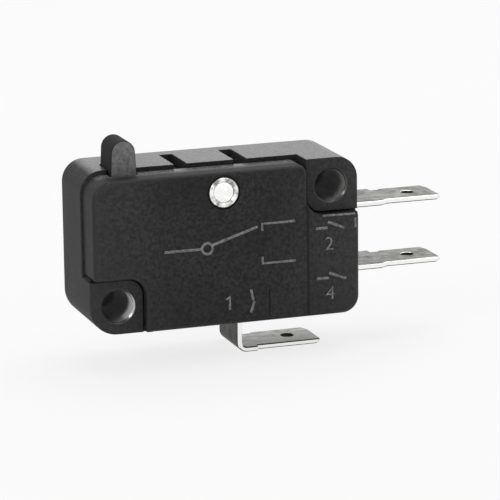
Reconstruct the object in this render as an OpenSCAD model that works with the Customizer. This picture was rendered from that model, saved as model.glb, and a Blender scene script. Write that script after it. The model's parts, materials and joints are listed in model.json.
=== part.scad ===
// Miniature changeover switch with a pin plunger.
// A moulded case and cover, closed by a hollow rivet, hold three tabs and a snap movement of two levers.
// X runs along the body, Y from the cover's face back to the mounting face, Z up to the plunger.
// Modules draw from the body's lower left front corner; in_frame() then puts the origin
// on the lower mounting hole's axis, at the mounting face.

/* [Body] */
// Length of the moulded body
body_len = 27.8; // [27:0.1:30]
// Height of the moulded body
body_height = 15.9; // [15.5:0.1:17.5]
// Depth from the cover's face to the mounting face
body_depth = 10.3; // [10:0.1:12]
// Radius of the body's upper corners
corner_r = 2.2; // [1.5:0.1:2.6]
// Radius of the body's lower right corner
low_corner_r = 1.8; // [1:0.1:2.4]
// Rounding along the edges of the mounting face
back_edge_r = 0.4; // [0.2:0.05:0.6]
// Thickness of the case's back wall
back_wall = 0.9; // [0.7:0.05:1.1]
// Thickness of the case's left wall
side_wall = 1.3; // [1:0.1:1.6]
// Thickness of the case's top wall
top_wall = 1.9; // [1.6:0.1:2.2]
// Thickness of the case's bottom wall
bottom_wall = 1.4; // [1:0.1:1.8]
// Thickness of the right wall that holds the tabs
right_wall = 5; // [4.6:0.1:5.4]

/* [Cover] */
// Depth of the cover, from its face to the seam
cover_depth = 3.5; // [3.2:0.1:3.8]
// Thickness of the cover's walls
cover_wall = 1.2; // [0.9:0.1:1.4]
// Step from the case's top down to the cover's top edge
cover_top_step = 0.45; // [0.2:0.05:0.7]
// Step from the case's left side in to the cover's edge
cover_left_step = 0.25; // [0.1:0.05:0.4]
// Step from the case's right side and underside in to the cover's edges
cover_side_step = 0.08; // [0.04:0.02:0.3]
// Rounding along the cover's face edges
cover_edge_r = 0.45; // [0.3:0.05:0.6]
// Radius of the cover's top corner beside the upper boss
cover_corner_r = 0.8; // [0.6:0.1:1]
// Width of the groove down the cover's face, below the upper boss
groove_w = 0.2; // [0.1:0.05:0.4]
// Depth of that groove
groove_depth = 0.15; // [0.1:0.05:0.4]
// Gap between the cover and the mounting bosses
cover_gap = 0.12; // [0.08:0.02:0.2]

/* [Mounting] */
// Diameter of the two mounting holes
hole_d = 3.1; // [2.9:0.1:3.3]
// Distance from the body's edges to a mounting hole's axis
hole_edge = 2.8; // [2.6:0.1:3]
// How far a boss reaches inwards from its hole's axis
boss_reach = 2.6; // [2.3:0.1:2.8]
// Radius of a boss's inner corner
boss_corner_r = 1.6; // [1.2:0.1:2.3]
// How far the bosses stand back from the cover's face
boss_recess = 0.8; // [0.2:0.1:1.2]
// Chamfer at the mouth of a mounting hole
hole_chamfer = 0.25; // [0.1:0.05:0.4]

/* [Hollow rivet] */
// Place of the rivet along the body
eyelet_x = 13.6; // [13.2:0.1:14.2]
// Drop from the body's top to the rivet's axis
eyelet_drop = 2.45; // [2.1:0.05:2.6]
// Outside diameter of the rivet's tube
eyelet_d = 2.5; // [2.2:0.1:2.7]
// Bore of the rivet's tube
eyelet_bore = 2; // [1.6:0.1:2.1]
// Diameter of the rivet's flanges
eyelet_flange_d = 3; // [3:0.1:3.6]
// Thickness of the rivet's flanges
eyelet_flange_t = 0.3; // [0.2:0.05:0.4]
// Rounding of the flanges' rims
eyelet_lip_r = 0.13; // [0.05:0.01:0.14]
// Flare of the bore at the rivet's mouths
eyelet_flare_r = 0.22; // [0.1:0.02:0.24]
// Depth of the seat for the front flange in the cover's face
eyelet_seat = 0.25; // [0.15:0.05:0.3]
// Gap round the front flange in its seat
eyelet_seat_gap = 0.2; // [0.1:0.05:0.3]
// Depth of the pocket for the rolled flange in the mounting face
eyelet_pocket = 0.5; // [0.45:0.05:0.7]
// Radius of the moulded post round the rivet
eyelet_post_r = 2; // [1.7:0.1:2.1]

/* [Pivot slots] */
// Width of a slot for an outside lever's foot
slot_w = 1.3; // [1:0.1:1.6]
// Place of the first slot's middle
slot_x = 10.3; // [9.8:0.1:10.8]
// Distance between the slots
slot_pitch = 6.2; // [5.8:0.1:6.6]
// Length of a slot back from the seam
slot_len = 4.9; // [4:0.1:5.4]
// Depth of a slot
slot_depth = 1.2; // [0.8:0.1:1.4]

/* [Plunger] */
// Place of the plunger's middle along the body
plunger_x = 4.2; // [4:0.1:4.4]
// Width of the plunger
plunger_w = 2.6; // [2.5:0.1:2.8]
// Depth of the plunger, from front to back
plunger_d = 3.7; // [3.2:0.1:4]
// Distance from the cover's face to the plunger's front
plunger_front = 2.5; // [2.3:0.1:2.8]
// Height of the plunger's top above the case at rest
plunger_reach = 2.95; // [2.6:0.05:3.4]
// Radius of the plunger's round top, to which its sides lean in above the guide
plunger_top_r = 1.2; // [1:0.05:1.24]
// Full travel of the plunger
plunger_travel = 2.2; // [1.6:0.1:2.3]
// Clearance round the plunger in its guide
plunger_clear = 0.1; // [0.06:0.01:0.15]
// How far the plunger's collar stands out
collar_out = 0.5; // [0.3:0.05:0.6]
// Thickness of the plunger's collar
collar_t = 0.8; // [0.6:0.1:1]
// Radius of the plunger's nose, where it meets the drive lever
nose_r = 0.9; // [0.7:0.1:1]
// Width of the flat at the bottom of the nose
nose_flat = 0.2; // [0.1:0.05:0.4]

/* [Tabs] */
// Width of a tab's blade
tab_w = 4.8; // [4.4:0.1:5]
// Thickness of the tab strip
tab_t = 0.5; // [0.4:0.05:0.55]
// How far a shoulder stands out of the body
shoulder_len = 4.4; // [3.6:0.1:5]
// Length of the slope from a shoulder's front corner to the blade
shoulder_taper = 0.7; // [0.3:0.1:1]
// How far the end tabs stand out of the body
tab_reach = 10.5; // [9:0.1:12]
// Diameter of the hole in a blade
tab_hole_d = 1.3; // [1:0.1:1.6]
// Distance from a blade's tip to its hole
tab_hole_tip = 2.9; // [2.4:0.1:3.4]
// Chamfer on a blade's corners
tab_chamfer = 0.6; // [0.3:0.1:0.9]
// Lead-in bevel on a blade's faces, across the thickness
tab_bevel = 0.15; // [0.08:0.01:0.18]
// Length of that bevel along the blade
tab_bevel_len = 0.6; // [0.3:0.1:1]
// Length of the notch behind a shoulder
tab_notch_len = 0.9; // [0.5:0.1:1.2]
// Depth of that notch
tab_notch = 0.3; // [0.1:0.05:0.5]
// Distance from the upper boss down to the upper tab's top face
tab_drop = 0.1; // [0.1:0.05:0.3]
// Distance from the upper tab down to the lower tab
tab_pitch = 6.5; // [6.2:0.1:6.6]
// Place of the common tab's upright strip along the body
common_x = 16; // [15.5:0.1:17]
// Drop from the body's underside to the common tab's blade
common_drop = 3.4; // [2.6:0.1:4]
// How far the common tab's blade runs along the body
common_len = 9.2; // [8:0.1:10]
// Length of the common tab's shoulder along the body
common_shoulder = 2.2; // [1.8:0.1:3]
// Inside radius of a bend in the strip
bend_r = 0.5; // [0.3:0.05:0.6]
// Clearance of the strips in their slots
strip_clear = 0.05; // [0.03:0.01:0.08]

/* [Contacts] */
// Distance from the wall that holds the tabs to the contacts' axis
contact_inset = 2.6; // [2.2:0.1:3.2]
// Diameter of a fixed contact
contact_d = 2.4; // [2:0.1:2.6]
// Thickness of a fixed contact
contact_t = 0.8; // [0.6:0.05:0.9]
// Diameter of the moving contact's heads
head_d = 2.2; // [1.8:0.1:2.4]
// Thickness of each of the moving contact's heads
head_t = 0.7; // [0.5:0.05:0.8]
// Diameter of the contacts' shanks
shank_d = 1.2; // [1:0.1:1.4]
// Height of a fixed contact's tail
tail_t = 0.25; // [0.15:0.05:0.35]
// Gap between the open contacts
contact_gap = 0.8; // [0.7:0.05:1]
// Daylight left between closed contacts
touch_gap = 0.05; // [0.03:0.01:0.06]

/* [Movement] */
// Width of both levers
lever_w = 4.4; // [4.2:0.1:4.6]
// Thickness of the contact arm
arm_t = 0.4; // [0.3:0.05:0.5]
// Place of the contact arm's pivot along the body
arm_pivot_x = 9.2; // [9:0.1:9.6]
// Radius of the bead that the contact arm tips on
bead_r = 0.16; // [0.12:0.01:0.18]
// Running clearance round pivots
pivot_clear = 0.05; // [0.03:0.01:0.06]
// Width of the contact arm's fork slot
fork_w = 2.6; // [2.4:0.1:2.8]
// Distance from the contacts' axis to the fork slot's closed end
fork_inset = 3.8; // [3.4:0.1:4.2]
// Place of the drive lever's pin along the body
pin_x = 11.6; // [11.3:0.1:11.7]
// Height of the drive lever's pin above the contact arm
pin_rise = 2.35; // [2.3:0.05:2.45]
// Diameter of the drive lever's pin
pin_d = 1; // [0.8:0.1:1.1]
// Radius of the drive lever's hub
hub_r = 0.95; // [0.85:0.05:1]
// Thickness of the drive lever
drive_t = 0.6; // [0.4:0.05:0.7]
// Height of the drive lever's top face above its pin
drive_top = 0.4; // [0.3:0.05:0.5]
// Place of the drive lever's free end
drive_end_x = 2.9; // [2.6:0.1:3.1]
// Place of the drive lever's spring leg
leg_x = 6.8; // [6.5:0.1:7]
// Width of the spring leg
leg_w = 1.6; // [1.4:0.1:2]
// Thickness of the spring leg
leg_t = 0.4; // [0.3:0.05:0.45]
// Height of the spring's left eye above the contact arm's middle
eye_rise = 0.75; // [0.65:0.05:0.85]

/* [Spring] */
// Diameter of the spring wire
wire_d = 0.25; // [0.2:0.01:0.26]
// Mean diameter of the spring's coils
coil_d = 1.5; // [1.3:0.05:1.6]
// Number of coils
coil_turns = 12; // [10:1:14]
// Mean radius of the spring's end eyes
eye_r = 0.5; // [0.47:0.01:0.53]
// Diameter of the holes that the eyes pass through
eye_hole_d = 0.7; // [0.6:0.05:0.75]

/* [Hidden] */
$fn = 64;
// Overshoot of a cut past the face that it opens
past = 1;
// How much rounder the cover's small corners are than its edges, so that a turned cut clears its axis
corner_spare = 0.02;
// Spacing of the mounting holes, and the upper one's place
hole_span_x = body_len - 2 * hole_edge;
hole_span_z = body_height - 2 * hole_edge;
upper_x = hole_edge + hole_span_x;
upper_z = hole_edge + hole_span_z;
eyelet_z = body_height - eyelet_drop;
cavity_y = body_depth - back_wall;
cavity_x = body_len - right_wall;
cavity_top = body_height - top_wall;
cover_top = body_height - cover_top_step;
// Width of the strips in the room behind the cover, and the middle of strips and levers
shoulder_w = cavity_y - cover_depth - 2 * strip_clear;
mid_y = cover_depth + strip_clear + shoulder_w / 2;
nc_z = upper_z - boss_reach - tab_drop;
no_z = nc_z - tab_pitch;
contact_x = cavity_x - contact_inset;
fork_end_x = contact_x - fork_inset;
tab_tip = body_len + tab_reach;
// Contact stack, from the upper tab down
nc_face = nc_z - tab_t - contact_t;
arm_top = nc_face - touch_gap - head_t;
arm_mid = arm_top - arm_t / 2;
arm_low = arm_top - arm_t;
no_face = arm_low - head_t - contact_gap;
no_inner_z = no_face - contact_t;
arm_pivot_z = arm_low - pivot_clear;
pin_z = arm_top + pin_rise;
drive_top_z = pin_z + drive_top;
nose_low = drive_top_z + touch_gap;
collar_top = cavity_top - touch_gap;
leg_low = arm_mid + eye_rise - eye_r / 2 - wire_d / 4;
plunger_color = "#565656";
moulding_color = "#3a3a3a";
tin_color = "#c8c8c8";
brass_color = "#c9a45c";
silver_color = "#dcdcdc";
steel_color = "#8a8d90";

// Moves a piece from the body's lower left front corner to the part's frame
module in_frame() {
    translate([-hole_edge, -body_depth, -hole_edge]) children();
}

// Extrudes a front-view outline from y0 back to y1
module along_y(y0, y1) {
    translate([0, y1, 0]) rotate([90, 0, 0]) linear_extrude(y1 - y0) children();
}

// Extrudes a side-view outline, drawn in Y and Z, from x0 to x1
module along_x(x0, x1) {
    translate([x0, 0, 0]) rotate([90, 0, 90]) linear_extrude(x1 - x0) children();
}

// Extrudes a plan outline from z0 up to z1
module along_z(z0, z1) {
    translate([0, 0, z0]) linear_extrude(z1 - z0) children();
}

// Round bar or hole along Y
module bar_y(x, z, y0, y1, r) {
    translate([x, y0, z]) rotate([-90, 0, 0]) cylinder(h = y1 - y0, r = r);
}

// What a rounding takes off a square corner at the origin
module corner_cut(r) {
    difference() {
        translate([-past, -past]) square(r + past);
        translate([r, r]) circle(r);
    }
}

// Rectangle with its own radius at each corner: lower left, lower right, upper right, upper left
module rounded(x0, z0, x1, z1, radii) {
    difference() {
        translate([x0, z0]) square([x1 - x0, z1 - z0]);
        if (radii[0] > 0) translate([x0, z0]) corner_cut(radii[0]);
        if (radii[1] > 0) translate([x1, z0]) rotate(90) corner_cut(radii[1]);
        if (radii[2] > 0) translate([x1, z1]) rotate(180) corner_cut(radii[2]);
        if (radii[3] > 0) translate([x0, z1]) rotate(270) corner_cut(radii[3]);
    }
}

// What rounding the front edges takes off a block with this front outline. The points run anticlockwise
// round the block, at right angles, and each corner has its radius. An edge's cut runs on past an outer
// corner, and an inner corner's turned cut runs on past its ends, so that no web is left between them.
module soft_rim(points, radii, edge) {
    n = len(points);
    for (i = [0 : n - 1]) {
        way = unit(points[(i + 1) % n] - points[i]);
        from = unit(points[i] - points[(i + n - 1) % n]);
        on = unit(points[(i + 2) % n] - points[(i + 1) % n]);
        outer = is_left(from, way);
        x0 = outer ? -past : radii[i];
        x1 = norm(points[(i + 1) % n] - points[i]) + (is_left(way, on) ? past : -radii[(i + 1) % n]);
        translate([points[i][0], 0, points[i][1]]) {
            rotate([0, -atan2(way[1], way[0]), 0]) along_x(x0, x1) corner_cut(edge);
            turned_rim(radii[i], way - from, edge, outer);
        }
    }
}

// The cut round one corner at the origin; in_way points from the corner to the centre of its radius
module turned_rim(r, in_way, edge, outer) {
    lap = outer ? 0 : past / 4;
    w = r + past + lap;
    translate(r * [in_way[0], 0, in_way[1]]) intersection() {
        rotate([-90, 0, 0]) rotate_extrude() translate([r, 0]) rotate(outer ? 90 : 0) corner_cut(edge);
        translate([in_way[0] < 0 ? -lap : lap - w, -past, in_way[1] < 0 ? -lap : lap - w])
            cube([w, edge + 2 * past, w]);
    }
}

function unit(v) = v / norm(v);
function is_left(a, b) = a[0] * b[1] - a[1] * b[0] > 0;

// Case before its hollows: one block with the mounting face's edges rounded, cut back to the seam
// everywhere but at the two mounting bosses
module case_block() {
    case_radii = [hole_edge, low_corner_r, corner_r, corner_r];
    difference() {
        along_y(boss_recess, body_depth) rounded(0, 0, body_len, body_height, case_radii);
        translate([0, body_depth, 0]) mirror([0, 1, 0]) soft_rim([[0, 0], [body_len, 0],
            [body_len, body_height], [0, body_height]], case_radii, back_edge_r);
        along_y(boss_recess - past, cover_depth) difference() {
            translate([-past / 2, -past / 2]) square([body_len + past, body_height + past]);
            boss_room(0);
        }
    }
}

// Room for the bosses, grown by a margin towards the middle and open past the body's edges
module boss_room(grow) {
    reach = boss_reach + grow;
    r = boss_corner_r + grow;
    rounded(-past, -past, hole_edge + reach, hole_edge + reach, [0, 0, r, 0]);
    rounded(upper_x - reach, upper_z - reach, body_len + past, body_height + past, [r, 0, 0, 0]);
}

module case_cavity() {
    difference() {
        translate([side_wall, bottom_wall]) square([cavity_x - side_wall, cavity_top - bottom_wall]);
        boss_room(0);
        translate([eyelet_x, eyelet_z]) circle(eyelet_post_r);
    }
}

// Opening for the plunger, half in the case and half in the cover
module plunger_guide() {
    w = plunger_w + 2 * plunger_clear;
    d = plunger_d + 2 * plunger_clear;
    translate([plunger_x - w / 2, plunger_front - plunger_clear, cavity_top - past])
        cube([w, d, top_wall + 2 * past]);
}

module mounting_hole(x, z) {
    bar_y(x, z, -past, body_depth + past, hole_d / 2);
    translate([x, boss_recess - past, z]) rotate([-90, 0, 0])
        cylinder(h = past + hole_chamfer, r1 = hole_d / 2 + hole_chamfer + past, r2 = hole_d / 2);
}

module tab_slot(z) {
    translate([cavity_x - past, cover_depth - past, z - tab_t - strip_clear])
        cube([right_wall + 2 * past, past + shoulder_w + 2 * strip_clear, tab_t + 2 * strip_clear]);
}

module common_slot() {
    translate([common_x - strip_clear, cover_depth - past, -past])
        cube([tab_t + 2 * strip_clear, past + shoulder_w + 2 * strip_clear, bottom_wall + 2 * past]);
}

module pin_hole() {
    bar_y(pin_x, pin_z, cover_wall + back_wall / 2, cavity_y + back_wall / 2, pin_d / 2);
}

module eyelet_hole() {
    bar_y(eyelet_x, eyelet_z, -past, body_depth + past, eyelet_d / 2);
}

// Depth of the little posts that carry the lever pin, from the lever to the wall
module pin_post(y0, y1) {
    bar_y(pin_x, pin_z, y0, y1, pin_d / 2 + back_wall / 2);
}

module case() {
    lever_back = mid_y + lever_w / 2;
    color(moulding_color) difference() {
        union() {
            difference() {
                case_block();
                along_y(cover_depth - past, cavity_y) case_cavity();
            }
            pin_post(lever_back + pivot_clear, cavity_y + back_wall / 4);
            translate([arm_pivot_x + tab_t, cover_depth, bottom_wall - back_wall / 4])
                cube([common_x - arm_pivot_x - 2 * tab_t - bend_r, cavity_y - cover_depth,
                    bend_r + back_wall / 4]);
        }
        plunger_guide();
        for (x = [slot_x, slot_x + slot_pitch])
            translate([x - slot_w / 2, cover_depth - past, body_height - slot_depth])
                cube([slot_w, past + slot_len, slot_depth + past]);
        tab_slot(nc_z);
        tab_slot(no_z);
        common_slot();
        mounting_hole(hole_edge, hole_edge);
        mounting_hole(upper_x, upper_z);
        eyelet_hole();
        bar_y(eyelet_x, eyelet_z, body_depth - eyelet_pocket, body_depth + past,
            eyelet_flange_d / 2 + eyelet_flange_t);
        pin_hole();
    }
}

// Full block of the cover: its front outline with a notch for each boss, and all its face edges rounded.
// The small corners beside the bosses are hardly rounder than those edges.
module cover_block() {
    x0 = cover_left_step;
    z0 = cover_side_step;
    x1 = body_len - cover_side_step;
    low = hole_edge + boss_reach + cover_gap;
    notch_x = upper_x - boss_reach - cover_gap;
    notch_z = upper_z - boss_reach - cover_gap;
    low_r = low_corner_r - cover_side_step;
    top_r = corner_r - cover_left_step;
    r = cover_edge_r + corner_spare;
    notch_r = boss_corner_r + cover_gap;
    difference() {
        along_y(0, cover_depth) difference() {
            rounded(x0, z0, x1, cover_top, [0, low_r, 0, top_r]);
            boss_room(cover_gap);
            for (at = [[low, z0], [x0, low]]) translate(at) corner_cut(r);
            translate([x1, notch_z]) rotate(180) corner_cut(r);
            translate([notch_x, cover_top]) rotate(180) corner_cut(cover_corner_r);
        }
        soft_rim([[low, z0], [x1, z0], [x1, notch_z], [notch_x, notch_z], [notch_x, cover_top],
            [x0, cover_top], [x0, low], [low, low]],
            [r, low_r, r, notch_r, cover_corner_r, top_r, r, notch_r], cover_edge_r);
    }
}

// Groove down the cover's face, in line with the upper boss's inner side
module cover_groove() {
    translate([upper_x - boss_reach - groove_w, -past, -past])
        cube([groove_w, past + groove_depth, past + upper_z - boss_reach + boss_corner_r]);
}

module cover_cavity() {
    x0 = cover_left_step + cover_wall;
    z0 = cover_side_step + cover_wall;
    difference() {
        translate([x0, z0]) square([cavity_x - x0, cover_top - cover_wall - z0]);
        boss_room(cover_gap + cover_wall);
        translate([eyelet_x, eyelet_z]) circle(eyelet_post_r);
    }
}

module cover() {
    lever_front = mid_y - lever_w / 2;
    color(moulding_color) difference() {
        union() {
            difference() {
                cover_block();
                along_y(cover_wall, cover_depth + past) cover_cavity();
            }
            pin_post(cover_wall - back_wall / 4, lever_front - pivot_clear);
        }
        cover_groove();
        plunger_guide();
        eyelet_hole();
        bar_y(eyelet_x, eyelet_z, -past, eyelet_seat, eyelet_flange_d / 2 + eyelet_seat_gap);
        pin_hole();
    }
}

// Section of the rivet: tube, formed head in front and rolled flange behind
module eyelet_section() {
    r_bore = eyelet_bore / 2;
    r_flange = eyelet_flange_d / 2;
    far = body_depth - eyelet_pocket;
    lap = (eyelet_flange_t - eyelet_flare_r) / 2;
    rounded(r_bore, eyelet_seat - eyelet_flange_t, r_flange, eyelet_seat,
        [eyelet_flare_r, eyelet_lip_r, eyelet_lip_r, 0]);
    rounded(r_bore, far, r_flange, far + eyelet_flange_t, [0, eyelet_lip_r, eyelet_lip_r, eyelet_flare_r]);
    translate([r_bore, eyelet_seat - lap])
        square([(eyelet_d - eyelet_bore) / 2, far - eyelet_seat + 2 * lap]);
}

module eyelet() {
    color(tin_color) translate([eyelet_x, 0, eyelet_z]) rotate([-90, 0, 0]) rotate_extrude() eyelet_section();
}

// Front view of the plunger's pin: straight in the guide, then leaning in to its round top
module pin_outline() {
    centre = [plunger_x, body_height + plunger_reach - plunger_top_r];
    low = collar_top - collar_t / 2 - centre[1];
    foot = [plunger_w / 2, body_height - centre[1]];
    turn = atan2(foot[1], foot[0]) + acos(plunger_top_r / norm(foot));
    lean = plunger_top_r * [cos(turn), sin(turn)];
    translate(centre) {
        circle(plunger_top_r);
        polygon([[-foot[0], low], [foot[0], low], foot, lean, [-lean[0], lean[1]], [-foot[0], foot[1]]]);
    }
}

module plunger() {
    x0 = plunger_x - plunger_w / 2;
    y1 = plunger_front + plunger_d;
    nose_w = 2 * nose_r + nose_flat;
    color(plunger_color) {
        along_y(plunger_front, y1) pin_outline();
        translate([x0 - collar_out, plunger_front - collar_out, collar_top - collar_t])
            cube([plunger_w + 2 * collar_out, plunger_d + 2 * collar_out, collar_t]);
        along_y(plunger_front, y1) rounded(plunger_x - nose_w / 2, nose_low, plunger_x + nose_w / 2,
            collar_top - collar_t / 2, [nose_r, nose_r, 0, 0]);
    }
}

module drive_lever() {
    y0 = mid_y - lever_w / 2;
    y1 = mid_y + lever_w / 2;
    eye_z = arm_mid + eye_rise + eye_r;
    color(steel_color) difference() {
        union() {
            bar_y(pin_x, pin_z, y0, y1, hub_r);
            translate([drive_end_x, y0, drive_top_z - drive_t]) cube([pin_x - drive_end_x, lever_w, drive_t]);
            translate([leg_x - leg_t / 2, mid_y - leg_w / 2, leg_low])
                cube([leg_t, leg_w, drive_top_z - drive_t / 2 - leg_low]);
        }
        bar_y(pin_x, pin_z, y0 - past, y1 + past, pin_d / 2 + pivot_clear);
        translate([leg_x - past, mid_y, eye_z]) rotate([0, 90, 0]) cylinder(h = 2 * past, d = eye_hole_d);
    }
}

module lever_pin() {
    color(steel_color) bar_y(pin_x, pin_z, cover_wall + back_wall / 2 + pivot_clear,
        cavity_y + back_wall / 2 - pivot_clear, pin_d / 2 - pivot_clear / 5);
}

module contact_lever() {
    x0 = arm_pivot_x - arm_t;
    x1 = contact_x + head_d / 2 + arm_t;
    y0 = mid_y - lever_w / 2;
    prong = (lever_w - fork_w) / 2;
    color(brass_color) {
        along_z(arm_low, arm_top) difference() {
            rounded(x0, y0, x1, y0 + lever_w, [0, lever_w / 4, lever_w / 4, 0]);
            translate([x0 - past, mid_y - fork_w / 2]) square([fork_end_x - x0 + past, fork_w]);
            translate([fork_end_x + eye_r + wire_d / 2, mid_y]) circle(d = eye_hole_d);
            translate([contact_x, mid_y]) circle(d = shank_d);
        }
        for (y = [y0, y0 + lever_w - prong]) bar_y(arm_pivot_x, arm_pivot_z, y, y + prong, bead_r);
    }
}

// Revolved contact rivet that stands on z = 0: face, shank and tail
module contact_rivet(face_d, face_t, shank_len, tail_d, tail_h) {
    edge = face_t / 5;
    rotate_extrude() polygon([[0, -face_t], [face_d / 2 - edge, -face_t], [face_d / 2, edge - face_t],
        [face_d / 2, 0], [shank_d / 2, 0], [shank_d / 2, shank_len], [tail_d / 2, shank_len],
        [tail_d / 2, shank_len + tail_h / 2], [tail_d / 2 - tail_h / 2, shank_len + tail_h],
        [0, shank_len + tail_h]]);
}

module moving_contact() {
    color(silver_color) translate([contact_x, mid_y, arm_low])
        contact_rivet(head_d, head_t, arm_t, head_d, head_t);
}

module nc_contact() {
    color(silver_color) translate([contact_x, mid_y, nc_z - tab_t])
        contact_rivet(contact_d, contact_t, tab_t, shank_d * 1.5, tail_t);
}

module no_contact() {
    color(silver_color) translate([contact_x, mid_y, no_inner_z]) mirror([0, 0, 1])
        contact_rivet(contact_d, contact_t, tab_t, shank_d * 1.5, tail_t);
}

// Plan of a blade from its shoulder to its tip, with the notch behind the shoulder and the hole
module blade_plan(x_shoulder, x_tip) {
    y0 = mid_y - tab_w / 2;
    y1 = mid_y + tab_w / 2;
    difference() {
        polygon([[x_shoulder - past, y0], [x_tip - tab_chamfer, y0], [x_tip, y0 + tab_chamfer],
            [x_tip, y1 - tab_chamfer], [x_tip - tab_chamfer, y1], [x_shoulder - past, y1]]);
        translate([x_shoulder, y1 - tab_notch]) square([tab_notch_len, tab_notch + past]);
        translate([x_tip - tab_hole_tip, mid_y]) circle(d = tab_hole_d);
    }
}

// Side view of a flat strip whose tip is bevelled on both faces
module bevelled_strip(x0, x_tip, z) {
    polygon([[x0, z - tab_t], [x_tip - tab_bevel_len, z - tab_t], [x_tip, z - tab_t + tab_bevel],
        [x_tip, z - tab_bevel], [x_tip - tab_bevel_len, z], [x0, z]]);
}

// Plan of an end tab: the strip inside, the shoulder through the wall and the blade
module end_tab_plan() {
    x_in = contact_x - contact_d / 2 - tab_bevel_len / 2;
    x_wall = cavity_x + strip_clear;
    shoulder_end = body_len + shoulder_len;
    y0 = mid_y - shoulder_w / 2;
    y1 = mid_y + shoulder_w / 2;
    difference() {
        union() {
            translate([x_in, mid_y - lever_w / 2]) square([cavity_x + past - x_in, lever_w]);
            polygon([[x_wall, y0], [shoulder_end - shoulder_taper, y0], [shoulder_end, mid_y - tab_w / 2],
                [shoulder_end, y1], [x_wall, y1]]);
            blade_plan(shoulder_end, tab_tip);
        }
        translate([contact_x, mid_y]) circle(d = shank_d);
    }
}

module nc_terminal() {
    color(tin_color) intersection() {
        along_z(nc_z - 2 * tab_t, nc_z + tab_t) end_tab_plan();
        along_y(mid_y - shoulder_w, mid_y + shoulder_w)
            bevelled_strip(contact_x - 2 * contact_d, tab_tip, nc_z);
    }
}

module no_terminal() {
    jog_in = contact_x + contact_d / 2 + tab_bevel_len / 2;
    jog_out = cavity_x - strip_clear;
    color(tin_color) intersection() {
        along_z(no_z - 2 * tab_t, no_inner_z + tab_t) end_tab_plan();
        along_y(mid_y - shoulder_w, mid_y + shoulder_w) union() {
            bevelled_strip(jog_out - tab_t / 2, tab_tip, no_z);
            polygon([[jog_in, no_inner_z - tab_t], [jog_out - tab_t, no_z - tab_t], [jog_out, no_z - tab_t],
                [jog_out, no_z], [jog_in + tab_t, no_inner_z], [jog_in, no_inner_z]]);
            translate([contact_x - 2 * contact_d, no_inner_z - tab_t])
                square([jog_in - contact_x + 2 * contact_d + tab_t / 2, tab_t]);
        }
    }
}

// Quarter ring of a bend in the strip: the corner lies at 180 to 270 degrees, turned on by turn
module bend(x, z, turn) {
    translate([x, z]) rotate(turn) intersection() {
        difference() {
            circle(bend_r + tab_t);
            circle(bend_r);
        }
        translate([-bend_r - tab_t, -bend_r - tab_t]) square(bend_r + tab_t);
    }
}

// Side view of the common terminal: posts, floor run, strip through the wall, blade
module common_strip() {
    post_x = arm_pivot_x - tab_t / 2;
    run_z = bottom_wall + bend_r;
    blade_z = -common_drop;
    reach = bend_r + tab_t;
    translate([post_x, run_z + reach]) square([tab_t, arm_pivot_z - run_z - reach]);
    bend(post_x + reach, run_z + reach, 0);
    translate([post_x + reach, run_z]) square([common_x - bend_r - post_x - reach, tab_t]);
    bend(common_x - bend_r, bottom_wall, 180);
    translate([common_x, blade_z + bend_r]) square([tab_t, bottom_wall - blade_z - bend_r]);
    bend(common_x + reach, blade_z + bend_r, 0);
    bevelled_strip(common_x + reach, common_x + common_len, blade_z);
}

module common_terminal() {
    shoulder_end = common_x + common_shoulder;
    narrow = (shoulder_w - lever_w) / 2;
    inside_x = common_x - bend_r;
    side = [mid_y - shoulder_w / 2 - past, mid_y + shoulder_w / 2 - narrow];
    color(tin_color) difference() {
        along_y(mid_y - shoulder_w / 2, mid_y + shoulder_w / 2) common_strip();
        for (y = side) translate([arm_pivot_x - past, y, 0])
            cube([inside_x - arm_pivot_x + past, narrow + past, arm_pivot_z + past]);
        translate([arm_pivot_x - past, mid_y - fork_w / 2, arm_pivot_z - 2 * coil_d / 2 - wire_d])
            cube([2 * past, fork_w, 2 * coil_d]);
        bar_y(arm_pivot_x, arm_pivot_z, mid_y - lever_w, mid_y + lever_w, bead_r + pivot_clear);
        along_z(-common_drop - past, -common_drop + past / 4) difference() {
            translate([shoulder_end, mid_y - shoulder_w]) square([common_len, 2 * shoulder_w]);
            blade_plan(shoulder_end, common_x + common_len);
        }
    }
}

// Centre line of the snap spring: left eye, coils on a slanted axis, right eye
eye_a = [leg_x, mid_y, arm_mid + eye_rise];
eye_b = [fork_end_x + wire_d / 2, mid_y, arm_mid];
spring_dir = (eye_b - eye_a) / norm(eye_b - eye_a);
spring_up = cross(spring_dir, [0, 1, 0]);
spring_span = norm(eye_b - eye_a) - 2 * eye_r;
eye_steps = 12;
turn_steps = 10;
coil_steps = coil_turns * turn_steps;
// Share of the coil at each end over which it winds out of the axis
wind_in = 0.08;
function ramp(t) = min(1, min(t, 1 - t) / wind_in);
function eye_point(c, a) = c + eye_r * (cos(a) * spring_dir + sin(a) * spring_up);
function coil_point(t) = eye_a + (eye_r + t * spring_span) * spring_dir
    + coil_d / 2 * ramp(t) * (cos(360 * coil_turns * t) * [0, 1, 0] + sin(360 * coil_turns * t) * spring_up);
spring_path = concat(
    [for (i = [0 : eye_steps]) eye_point(eye_a, 30 + 330 * i / eye_steps)],
    [for (i = [1 : coil_steps - 1]) coil_point(i / coil_steps)],
    [for (i = [0 : eye_steps]) eye_point(eye_b, 180 + 330 * i / eye_steps)]);

// Sweeps a round wire along a path, carrying its cross direction from ring to ring
function tangent(p, i) = unit(p[min(i + 1, len(p) - 1)] - p[max(i - 1, 0)]);
function across(v, t) = unit(v - (v * t) * t);
function ring_dirs(p, i, dir, done) = i == len(p) ? done
    : let (d = across(dir, tangent(p, i))) ring_dirs(p, i + 1, d, concat(done, [d]));

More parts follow.
